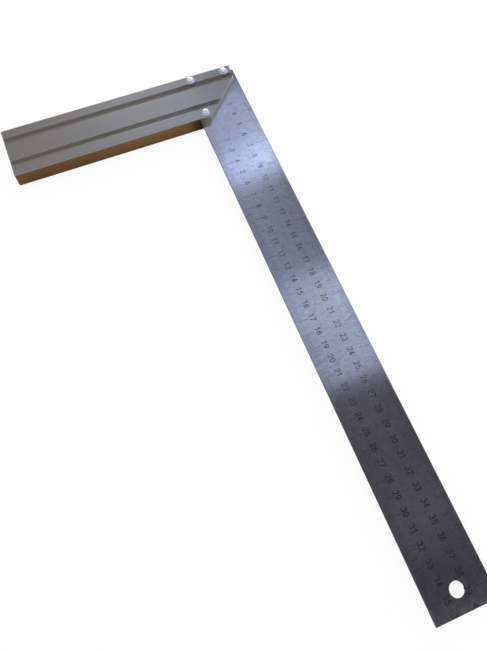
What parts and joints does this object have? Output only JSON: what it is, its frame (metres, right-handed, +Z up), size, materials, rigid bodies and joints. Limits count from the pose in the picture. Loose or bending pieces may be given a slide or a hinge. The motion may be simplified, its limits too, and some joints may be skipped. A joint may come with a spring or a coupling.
{
  "type": "try and mitre square",
  "caption": "Ruled steel blade riveted at a right angle into a grooved aluminium handle with a mitred inner end, for marking and checking square and 45 degree lines.",
  "frame": {"origin": "zero point of the outer scale: on the blade's marked face, where the blade's outer ruling edge meets the plane of the handle's outer face", "axes": "+Z up out of the blade's marked face, -Y along the blade from the handle to the tip, -X along the handle from the blade to the handle's free end"},
  "size_m": [0.1785, 0.4, 0.0162],
  "materials": {
    "handle_aluminium": "satin anodised, with fine sawn marks on the mitre",
    "blade_steel": "stainless, lightly brushed along its length, with dark etched scales",
    "rivet_aluminium": "bright pressed aluminium",
    "mandrel_steel": "dull steel with a torn end"
  },
  "bodies": {
    "root": {"handle": "handle_aluminium", "blade": "blade_steel", "rivet_bodies": "rivet_aluminium", "rivet_mandrels": "mandrel_steel"}
  },
  "joints": []
}
